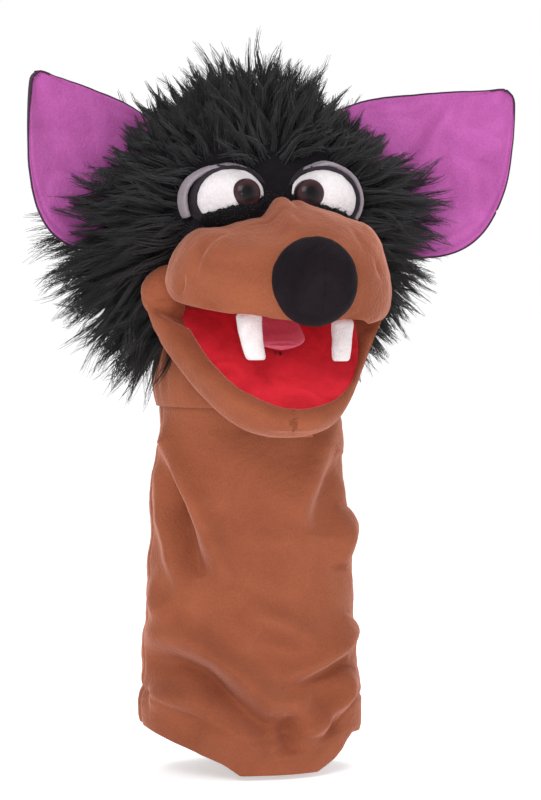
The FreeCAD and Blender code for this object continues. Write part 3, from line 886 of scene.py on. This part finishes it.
def make_jaw():
    cols = 180
    outer_a, outer_r = radius_table(JAW_RIGHT, MOUTH_MIDDLE, JAW_LEFT)
    inner_a, inner_r = radius_table(JAW_INNER, MOUTH_MIDDLE)
    # profile from the middle of the hollow over the lip, round the side and to the middle below
    profile = [("in", i / 8) for i in range(8)]
    profile += [("lip", i / 16) for i in range(17)]
    profile += [("under", i / 22) for i in range(1, 23)]
    verts = []
    for kind, f in profile:
        for j in range(cols):
            a = -math.pi + 2.0 * math.pi * j / cols
            ro = float(np.interp(a, outer_a, outer_r))
            ri = float(np.interp(a, inner_a, inner_r))
            at_back = float(smooth(-0.35, -0.75, math.cos(a) * ro / MOUTH_MIDDLE))
            if kind == "in":
                r = ri * f
                level = LINING_LEVEL
            elif kind == "lip":
                mid = (ro + ri) / 2.0
                half = (ro - ri) / 2.0 + 0.001
                turn = math.pi * (1.0 - f)
                r = mid + half * math.cos(turn)
                crown = math.sin(turn) ** 0.55
                level = LINING_LEVEL + 8.0 * (1.0 - 0.75 * at_back) * crown
            else:
                r = ro * math.cos(f * math.pi / 2.0) ** 0.62
                s_now = MOUTH_MIDDLE + math.cos(a) * r
                deep = float(np.interp(s_now, JAW_PROFILE_S, JAW_PROFILE_D))
                level = LINING_LEVEL + (-deep - LINING_LEVEL) * math.sin(f * math.pi / 2.0) ** 0.9
            x = math.sin(a) * r
            s = MOUTH_MIDDLE + math.cos(a) * r
            verts.append((x, s, level))
    raw = np.array(verts)
    raw[:, 1] = np.maximum(raw[:, 1], 1.5)
    side = np.abs(raw[:, 0])
    corner = smooth(40.0, 0.0, raw[:, 1]) * smooth(60.0, 78.0, side) * smooth(-16.0, -3.0, raw[:, 2])
    raw[:, 2] += roll(raw[:, 0]) * smooth(-9.0, -2.0, raw[:, 2]) + 13.0 * corner
    raw[:, 1] -= 2.0 * corner
    raw[:, 0] *= 1.0 + 0.03 * corner
    points = np.array([mouth_point(x * MM, s * MM, t * MM, JAW_TILT) for x, s, t in raw])
    rows = len(profile)
    faces = grid_faces(rows, cols)
    faces.append(tuple((rows - 1) * cols + j for j in range(cols)))
    centre_point = np.array(mouth_point(0.0, 60.0 * MM, -14.0 * MM, JAW_TILT))
    normals = unit(points - centre_point)
    lumps = 1.0 * wobble(points, 30.0 * MM, 61) + 0.4 * wobble(points, 11.0 * MM, 62)
    points += normals * (lumps * MM)[:, None] * smooth(-8.8, -7.0, raw[:, 2])[:, None]
    top = mouth_point(CHIN_SEAM, 101.0 * MM, 0.0, JAW_TILT)
    tip = mouth_point(CHIN_SEAM, 116.0 * MM, -3.0 * MM, JAW_TILT)
    low = mouth_point(CHIN_SEAM, 114.0 * MM, -22.0 * MM, JAW_TILT)
    points = crease(points, normals, [top, tip, low], 1.8 * MM, 2.2 * MM)
    for x, s, t in ((-78.0, 26.0, -4.0), (74.0, 40.0, -4.0), (-62.0, 66.0, -5.0), (60.0, 70.0, -6.0)):
        start = mouth_point(x * MM, s * MM, t * MM, JAW_TILT)
        end = mouth_point(x * 1.06 * MM, (s + 6.0) * MM, (t - 14.0) * MM, JAW_TILT)
        points = crease(points, normals, [start, end], 2.4 * MM, 2.2 * MM)
    jaw = new_object("jaw_plush", points, faces, BROWN_LIP, "jaw")
    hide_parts("jaw_lip_left", "jaw_lip_right", "jaw_skin", "jaw_stuffing")
    make_chin_stitches(points, normals)


def make_chin_stitches(points, normals):
    """Short threads pulled across the chin's centre seam."""
    lines = []
    for k in range(9):
        f = k / 8.0
        along = 103.0 + 14.0 * min(1.0, f / 0.6)
        down = 16.0 * max(0.0, f - 0.55)
        aim = np.array(mouth_point(CHIN_SEAM, along * MM, -down * MM, JAW_TILT))
        ends = []
        for side in (-1.0, 1.0):
            wanted = aim + np.array([side * 1.7 * MM, 0.0, side * 0.5 * MM])
            near = int(np.argmin(np.linalg.norm(points - wanted, axis=1)))
            ends.append(points[near] + normals[near] * 0.2 * MM)
        middle = (ends[0] + ends[1]) / 2.0 + normals[near] * 0.9 * MM
        lines.append([ends[0], middle, ends[1]])
    lines = np.array(lines)
    radii = np.full(lines.shape[:2], 0.32 * MM)
    hair_object("chin_stitches", [(lines, radii, 6)], THREAD, "jaw")


def hinge_arc(x, radius, angle):
    """Point round the mouth's fold: angle 0 points forwards, a quarter turn points down."""
    return (x, FOLD.y - radius * math.cos(angle), FOLD.z - radius * math.sin(angle))


def make_mouth_fold():
    """Red felt that runs round the back of the mouth from the upper lining to the lower one."""
    rows = 26
    cols = 60
    verts = []
    upper = math.radians(-64.0)
    lower = math.radians(116.0)
    for i in range(rows):
        f = i / (rows - 1)
        # round behind the fold, from above the upper plate's back edge to below the lower one's
        angle = upper - (2.0 * math.pi - (lower - upper)) * f
        radius = (7.6 + 0.8 * math.sin(f * math.pi)) * MM
        for j in range(cols):
            x = (-62.0 + 124.0 * j / (cols - 1)) * MM
            verts.append(hinge_arc(x, radius, angle))
    points = np.array(verts)
    points += 0.3 * wobble(points, 20.0 * MM, 55)[:, None] * MM
    faces = grid_faces(rows, cols, wrap=False)
    fold = new_object("mouth_fold_felt", points, faces, RED_FELT, "head")
    solidify(fold, 1.2 * MM, 0.0)


def make_cheek(side, name):
    """Stuffed corner of the mouth, between the muzzle's back edge and the jaw's."""
    rows = 60
    cols = 70
    centre = np.array([side * 70.5, -45.0, 321.5]) * MM
    radii = np.array([14.5, 13.0, 19.0]) * MM
    points = ball_points(rows, cols, centre, radii, 0.004, 0.992, power=0.9)
    normals = unit((points - centre) / radii ** 2)
    points[:, 0] -= side * 5.0 * MM * ((points[:, 2] - centre[2]) / radii[2]) ** 2
    pleat = ((13.0, -4.0, -4.0), (6.0, -12.0, -6.0), (-4.0, -13.0, -5.0))
    path = [centre + np.array([side * x, y, z]) * MM for x, y, z in pleat]
    points = crease(points, normals, path, 2.0 * MM, 2.4 * MM)
    points += normals * (0.7 * wobble(points, 20.0 * MM, 57 + side))[:, None] * MM
    faces = grid_faces(rows, cols, flip=True)
    cheek = new_object("cheek_plush_" + name, points, faces, BROWN_LIP, "head")


def make_throat(side, name):
    """Plush between the mouth's corner and the neck, on a ball round the place where the wrist bends."""
    rows = 34
    cols = 50
    verts = []
    for i in range(rows):
        up = math.radians(-14.0 + 62.0 * i / (rows - 1))
        for j in range(cols):
            round_ = math.radians(30.0 + 79.0 * j / (cols - 1))
            pleats = 0.6 * math.sin(j * 0.9) * math.sin(math.pi * i / (rows - 1))
            radius = (63.8 + 2.6 * i / (rows - 1) + pleats) * MM
            verts.append((
                side * radius * math.cos(up) * math.sin(round_),
                NECK.y - radius * math.cos(up) * math.cos(round_),
                NECK.z + radius * math.sin(up),
            ))
    points = np.array(verts)
    faces = grid_faces(rows, cols, wrap=False, flip=side < 0)
    throat = new_object("throat_plush_" + name, points, faces, BROWN, "head")
    solidify(throat, 1.6 * MM, 1.0)


def make_throat_front():
    """Plush from inside the sleeve's front up to the jaw's underside, below the pocket for the thumb."""
    rows = 36
    cols = 70
    ball = 54.0 * MM
    bend = 0.5
    jaw = bpy.data.objects["jaw_plush"].data
    under = BVHTree.FromPolygons([v.co for v in jaw.vertices], [p.vertices[:] for p in jaw.polygons])
    up = Vector(mouth_point(0.0, 0.0, 1.0, JAW_TILT)) - Vector(mouth_point(0.0, 0.0, 0.0, JAW_TILT))
    verts = []
    for i in range(rows):
        f = i / (rows - 1)
        # the lower half lies on a ball inside the sleeve, the upper half goes on to the jaw
        rise = math.radians(-40.0 + 27.0 * min(f / bend, 1.0))
        out = max(f - bend, 0.0) / (1.0 - bend)
        for j in range(cols):
            across = -1.0 + 2.0 * j / (cols - 1)
            round_ = math.radians(64.0 * across)
            low = Vector((
                ball * math.cos(rise) * math.sin(round_),
                NECK.y - ball * math.cos(rise) * math.cos(round_),
                NECK.z + ball * math.sin(rise),
            ))
            start = Vector(mouth_point(42.0 * MM * across, 52.0 * MM, -90.0 * MM, JAW_TILT))
            hit = under.ray_cast(start, up)[0]
            verts.append(low.lerp(hit + up * 1.5 * MM, out))
    points = np.array(verts)
    faces = grid_faces(rows, cols, wrap=False)
    front = new_object("throat_plush_front", points, faces, BROWN, None)
    solidify(front, 1.4 * MM, 0.0)
    middle = cols // 2
    start = points[(rows // 2) * cols + middle]
    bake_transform(front)


# ---- nose ----
NOSE_C = np.array([5.0, -142.5, 329.0]) * MM
NOSE_R = np.array([27.5, 25.0, 28.5]) * MM


def make_nose():
    rows = 70
    cols = 110
    points = ball_points(rows, cols, NOSE_C, NOSE_R, 0.006, 0.80, True)
    normals = unit((points - NOSE_C) / NOSE_R ** 2)
    turns = np.linspace(-1.2, 1.2, 9)
    seam = [NOSE_C + np.array([0.0, -math.cos(a), math.sin(a)]) * NOSE_R for a in turns]
    points = crease(points, normals, seam, 1.3 * MM, 0.9 * MM)
    lumps = 0.5 * wobble(points, 24.0 * MM, 71) + 0.25 * wobble(points, 8.0 * MM, 72)
    points += normals * lumps[:, None] * MM
    faces = grid_faces(rows, cols)
    faces.append(tuple(range(cols))[::-1])
    nose = new_object("nose_velour_bulb", points, faces, NOSE_PILE, "head")
    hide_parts("nose_cover", "nose_stuffing")


# ---- eyes ----
def dome(name, side, grow, front_y, material, node, low_z=None, cut=0.0, seed=81):
    """Front part of an eye's padded dome, from its most forward ring back into the head.

    grow tells how far the rim stands over the dome, by how far outwards and upwards a point lies."""
    centre = np.array([side * EYE_C[0], EYE_C[1], EYE_C[2]])
    rows = 40
    cols = 100
    verts = []
    normals = []
    for j in range(cols):
        b = 2.0 * math.pi * j / cols
        radii = EYE_R + grow(side * math.sin(b), math.cos(b)) * MM
        start = 0.01
        if front_y is not None:
            start = math.acos(min(1.0, (centre[1] - front_y) / radii[1]))
        for i in range(rows):
            a = start + (math.pi * 0.60 - start) * i / (rows - 1)
            d = np.array([math.sin(a) * math.sin(b), -math.cos(a), math.sin(a) * math.cos(b)])
            verts.append(centre + d * radii)
            normals.append(unit(d / radii))
    order = np.arange(rows * cols).reshape(cols, rows).T.ravel()
    points = np.array(verts)[order]
    normals = np.array(normals)[order]
    lumps = 0.5 * wobble(points, 16.0 * MM, seed) + 0.25 * wobble(points, 5.0 * MM, seed + 1)
    points += normals * lumps[:, None] * MM
    if cut:
        points[:, 0] = side * np.maximum(side * points[:, 0], cut)
    faces = grid_faces(rows, cols)
    if low_z is not None:
        faces = [f for f in faces if max(points[k][2] for k in f) > low_z]
    if front_y is None:
        faces.append(tuple(range(cols))[::-1])
    obj = new_object(name, points, faces, material, "head")
    if front_y is not None:
        solidify(obj, 2.6 * MM)
    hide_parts(node)
    return obj


def no_rim(outward, upward):
    return 0.0


def dark_band(outward, upward):
    return 2.3


def wide_lid(outward, upward):
    return 2.2 + 6.0 * float(smooth(-0.30, 0.85, 0.80 * outward - 0.50 * upward))


def narrow_lid(outward, upward):
    return 2.2 + 2.6 * float(smooth(-0.35, 0.25, outward))


def make_pupil(side, name):
    centre = np.array([-1.8 + side * 21.5, -80.0, 386.5]) * MM
    radius = 9.5 * MM
    rows = 22
    cols = 64
    verts = []
    for i in range(rows):
        f = i / (rows - 1)
        r = radius * math.sin(min(f * 1.15, 1.0) * math.pi / 2.0)
        y = -5.0 * MM * math.cos(min(f * 1.15, 1.0) * math.pi / 2.0)
        if f > 1.0 / 1.15:
            y = 6.0 * MM * (f * 1.15 - 1.0) / 0.15
        for j in range(cols):
            b = 2.0 * math.pi * j / cols
            verts.append(centre + np.array([math.sin(b) * max(r, 0.0001), y, math.cos(b) * max(r, 0.0001)]))
    faces = grid_faces(rows, cols)
    faces.append(tuple(range(cols))[::-1])
    material = gloss_material("pupil_gloss_" + name, tuple(centre - np.array([0.0, 4.0 * MM, 0.0])))
    pupil = new_object("pupil_dome_" + name, verts, faces, material, "head")
    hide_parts("pupil_" + name)


def make_eyes():
    for side, name, lid in ((-1, "left", wide_lid), (1, "right", narrow_lid)):
        dome("eye_dome_" + name, side, no_rim, None, WHITE_PILE,
             "eye_white_" + name, seed=81 + side)
        dome("eye_ring_" + name, side, dark_band, -71.5 * MM, OUTLINE_PILE,
             "eye_outline_" + name, cut=0.6 * MM, seed=91 + side)
        dome("eye_lid_" + name, side, lid, -70.5 * MM, LID_PILE, "eyelid_" + name,
             low_z=0.371, cut=0.6 * MM, seed=95 + side)
        make_pupil(side, name)


# ---- fangs and tongue ----
def make_fang(side, name):
    joint = JOINTS["fang_" + name + "_fold"]
    pivot = np.array(joint["pos_m"])
    rows = 46
    cols = 40
    length = (33.0 if side < 0 else 29.0) * MM
    lean = (5.0 if side < 0 else -1.0) * MM
    drop = (0.0 if side < 0 else 5.0) * MM
    verts = []
    for i in range(rows):
        f = i / (rows - 1)
        z = 6.0 * MM - drop - f * length
        if f < 0.2:
            grow = math.sqrt(max(0.0, 1.0 - ((0.2 - f) / 0.2) ** 2))
        elif f > 0.9:
            grow = 0.72 + 0.28 * math.sqrt(max(0.0, 1.0 - ((f - 0.9) / 0.1) ** 2))
        else:
            grow = 1.0
        rx = (8.8 if side < 0 else 7.6) * MM * grow * (1.0 - 0.24 * f)
        ry = 6.0 * MM * grow * (1.0 - 0.30 * f)
        for j in range(cols):
            b = 2.0 * math.pi * j / cols
            x = math.copysign(abs(math.sin(b)) ** 0.8, math.sin(b)) * rx + lean * f * f
            verts.append(pivot + np.array([x, -math.cos(b) * ry, z]))
    points = np.array(verts)
    normals = points - points.mean(axis=0)
    normals[:, 2] = 0.0
    normals /= np.linalg.norm(normals, axis=1)[:, None] + 1e-9
    points += normals * (0.35 * wobble(points, 9.0 * MM, 101 + side))[:, None] * MM
    seam = [points[cols // 2], points[cols // 2] + np.array([0.0, 0.0, -length])]
    points = crease(points, normals, seam, 1.0 * MM, 0.5 * MM)
    faces = grid_faces(rows, cols, flip=True)
    faces.append(tuple(range(cols)))
    faces.append(tuple((rows - 1) * cols + j for j in range(cols))[::-1])
    fang = new_object("fang_felt_" + name, points, faces, FANG_FELT, "fang_" + name)
    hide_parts("fang_" + name)


def make_tongue():
    rows = 44
    cols = 36
    verts = []
    length = 50.0
    for i in range(rows):
        f = i / (rows - 1)
        s = 9.0 + (length - 9.0) * f
        half = 18.5 * (0.80 + 0.20 * math.sin(min(f * 2.0, 1.0) * math.pi / 2.0))
        if f > 0.6:
            half *= math.sqrt(max(0.0, 1.0 - ((f - 0.6) / 0.4) ** 2.2)) + 0.01
        lift = 5.5 * f * f
        for j in range(cols):
            b = 2.0 * math.pi * j / cols
            x = math.cos(b) * half
            t = -3.6 + math.sin(b) * 2.9 * (1.0 - 0.35 * (f > 0.9)) + lift
            t -= 1.1 * math.exp(-((x / 2.6) ** 2)) * (math.sin(b) > 0.0) * (1.0 - f)
            verts.append(mouth_point(x * MM, s * MM, t * MM, JAW_TILT))
    faces = grid_faces(rows, cols)
    faces.append(tuple(range(cols))[::-1])
    faces.append(tuple((rows - 1) * cols + j for j in range(cols)))
    tongue = new_object("tongue_pad", verts, faces, PINK_FELT, "tongue")
    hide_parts("tongue")


# ---- ears ----
EAR_LOWER = [
    (-30.0, 6.0), (0.0, 0.0), (38.0, 1.0), (62.0, 9.0), (78.0, 26.0), (87.0, 54.0), (88.0, 84.0),
    (86.0, 108.0), (84.0, 117.0), (79.0, 121.5),
]
EAR_UPPER = [
    (-36.0, 90.0), (-18.0, 100.0), (0.0, 106.0), (22.0, 111.0), (46.0, 116.0), (64.0, 119.0), (72.0, 121.0),
    (77.0, 121.8),
]
EAR_FOOT = np.array([90.0, 2.0, 350.0]) * MM
EAR_MIDDLE = 52.0       # height in the leaf about which an ear tilts, in millimetres
# turn forwards, tilt in the ear's plane, width and height of each ear
EAR_POSE = {"left": (30.0, -1.0, 0.90, 0.945), "right": (20.0, 8.0, 1.01, 1.0)}


def make_ear(side, name):
    """Padded ear: a leaf between its upper and lower edge, cupped and wrinkled, in two layers."""
    rows = 84
    cols = 90
    turn, tilt, wide, tall = EAR_POSE[name]
    lower = np.array(rounded(EAR_LOWER, 8, False))
    upper = np.array(rounded(EAR_UPPER, 8, False))

    def edge(curve, f):
        gaps = np.linalg.norm(np.diff(curve, axis=0), axis=1)
        at = np.concatenate([[0.0], np.cumsum(gaps)]) / gaps.sum()
        return np.array([np.interp(f, at, curve[:, 0]), np.interp(f, at, curve[:, 1])])

    layers = []
    for layer in (-1.0, 1.0):
        pts = []
        for i in range(rows):
            u = i / (rows - 1)
            a = edge(lower, u)
            b = edge(upper, u)
            for j in range(cols):
                v = j / (cols - 1)
                p = a * (1.0 - v) + b * v
                rim = (4.0 * v * (1.0 - v)) ** 0.5 * (1.0 - u ** 8) ** 0.5
                thick = 4.6 * rim + 0.2
                cup = 8.0 * (1.0 - (2.0 * v - 1.0) ** 2) * math.sin(u * math.pi * 0.8)
                # folds gathered at the root run out towards the rim, and a few soft dents lie across
                root_folds = 1.5 * math.sin(v * 17.0 + 3.0 * u + 1.3 * side) * math.exp(-u * 3.0) * rim
                dents = 0.9 * math.sin(u * 9.0 + 5.0 * v + side) * math.sin(v * math.pi) * rim
                stitch = -0.9 * math.exp(-((min(v, 1.0 - v) - 0.055) / 0.02) ** 2) * layer
                pts.append((p[0] * wide, cup + root_folds + dents + layer * thick + stitch, p[1] * tall))
        local = np.array(pts)
        a = math.radians(tilt)
        height = local[:, 2] - EAR_MIDDLE
        x = local[:, 0] * math.cos(a) + height * math.sin(a)
        z = height * math.cos(a) - local[:, 0] * math.sin(a) + EAR_MIDDLE
        y = local[:, 1]
        c = math.cos(math.radians(turn))
        n = math.sin(math.radians(turn))
        points = EAR_FOOT + np.stack([x * c + y * n, y * c - x * n, z], axis=1) * MM
        points[:, 0] *= side
        lumps = 0.5 * wobble(points, 30.0 * MM, 111) + 0.2 * wobble(points, 9.0 * MM, 112)
        points += lumps[:, None] * MM * 0.6
        layers.append(points)
    for points, tag, material, slot in (
        (layers[0], "front", EAR_PILE, "ear_velour"),
        (layers[1], "back", EAR_BACK, "ear_back"),
    ):
        outward = -1.0 if tag == "front" else 1.0
        flip = (side * outward) < 0
        faces = grid_faces(rows, cols, wrap=False, flip=flip)
        obj = new_object("ear_cloth_" + name + "_" + tag, points, faces, material, "ear_" + name)
        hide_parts("ear_" + name + "_" + tag, "ear_" + name + "_padding")
    grids = [points.reshape(rows, cols, 3) for points in layers]
    middle = (grids[0] + grids[1]) / 2.0
    edge_line = np.concatenate([middle[:, 0], middle[-1, 1:-1], middle[::-1, -1]])
    radii = np.full((1, len(edge_line)), 0.7 * MM)
    hair_object("ear_edge_" + name, [(edge_line[None], radii, 8)], EAR_BACK, "ear_" + name)


CARRIED = {
    "neck_lining": LINING,
    "skull_padding": LINING,
    "upper_mouth_board": LINING,
    "finger_pocket": LINING,
    "eye_washer_left": WASHER,
    "eye_washer_right": WASHER,
    "lower_mouth_board": LINING,
    "thumb_pocket": BROWN,
}


def dress_carried_parts():
    for name, material in CARRIED.items():
        node = frame["nodes"][name]
        for slot in node.material_slots:
            slot.material = material


def both(make):
    for side, name in ((-1, "left"), (1, "right")):
        make(side, name)


make_camera()
make_studio()
make_sleeve()
make_fur_base()
make_fur()
make_muzzle()
make_nose()
make_eyes()
make_brow()
both(make_fang)
make_jaw()
lining_patch("palate_felt", PALATE_INNER, PALATE_TILT, MOUTH_DEPTH, RED_FELT, "head",
             "upper_mouth_lining", 1.2 * MM, -4.0)
lining_patch("jaw_felt", JAW_INNER, JAW_TILT, -MOUTH_DEPTH, RED_FELT, "jaw",
             "lower_mouth_lining", -1.2 * MM, 1.5)
make_mouth_fold()
both(make_cheek)
both(make_throat)
make_throat_front()
make_tongue()
both(make_ear)
dress_carried_parts()
